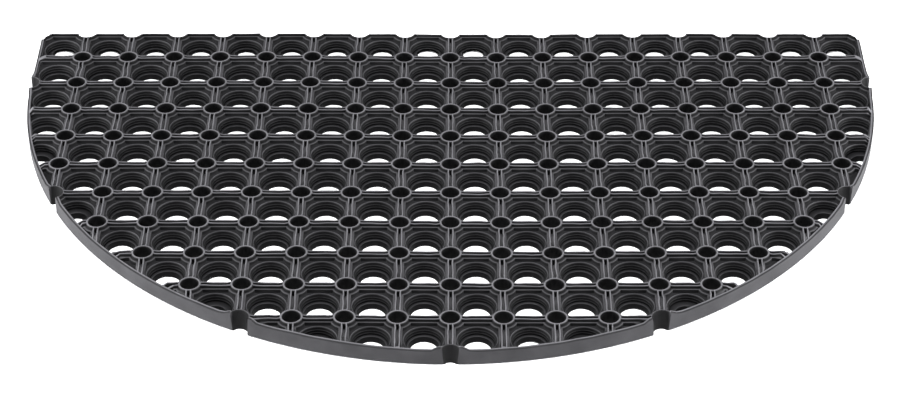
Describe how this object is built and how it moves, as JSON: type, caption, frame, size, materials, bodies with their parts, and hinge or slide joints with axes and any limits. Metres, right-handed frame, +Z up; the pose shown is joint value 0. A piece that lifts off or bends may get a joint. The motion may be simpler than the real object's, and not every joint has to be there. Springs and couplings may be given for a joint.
{
  "type": "half round doormat",
  "caption": "Half round open rubber ring mat for a doorway: a lattice of rings joined by webs around open drainage cells, inside a low outer wall.",
  "frame": {"origin": "middle of the mat's outline on the floor", "axes": "+X along the straight back edge, +Y towards the straight back edge, +Z up out of the floor"},
  "size_m": [0.75, 0.4558, 0.0175],
  "materials": {
    "rubber": "satin, moulded black rubber"
  },
  "bodies": {
    "root": {"ring_mat": "rubber"}
  },
  "joints": []
}
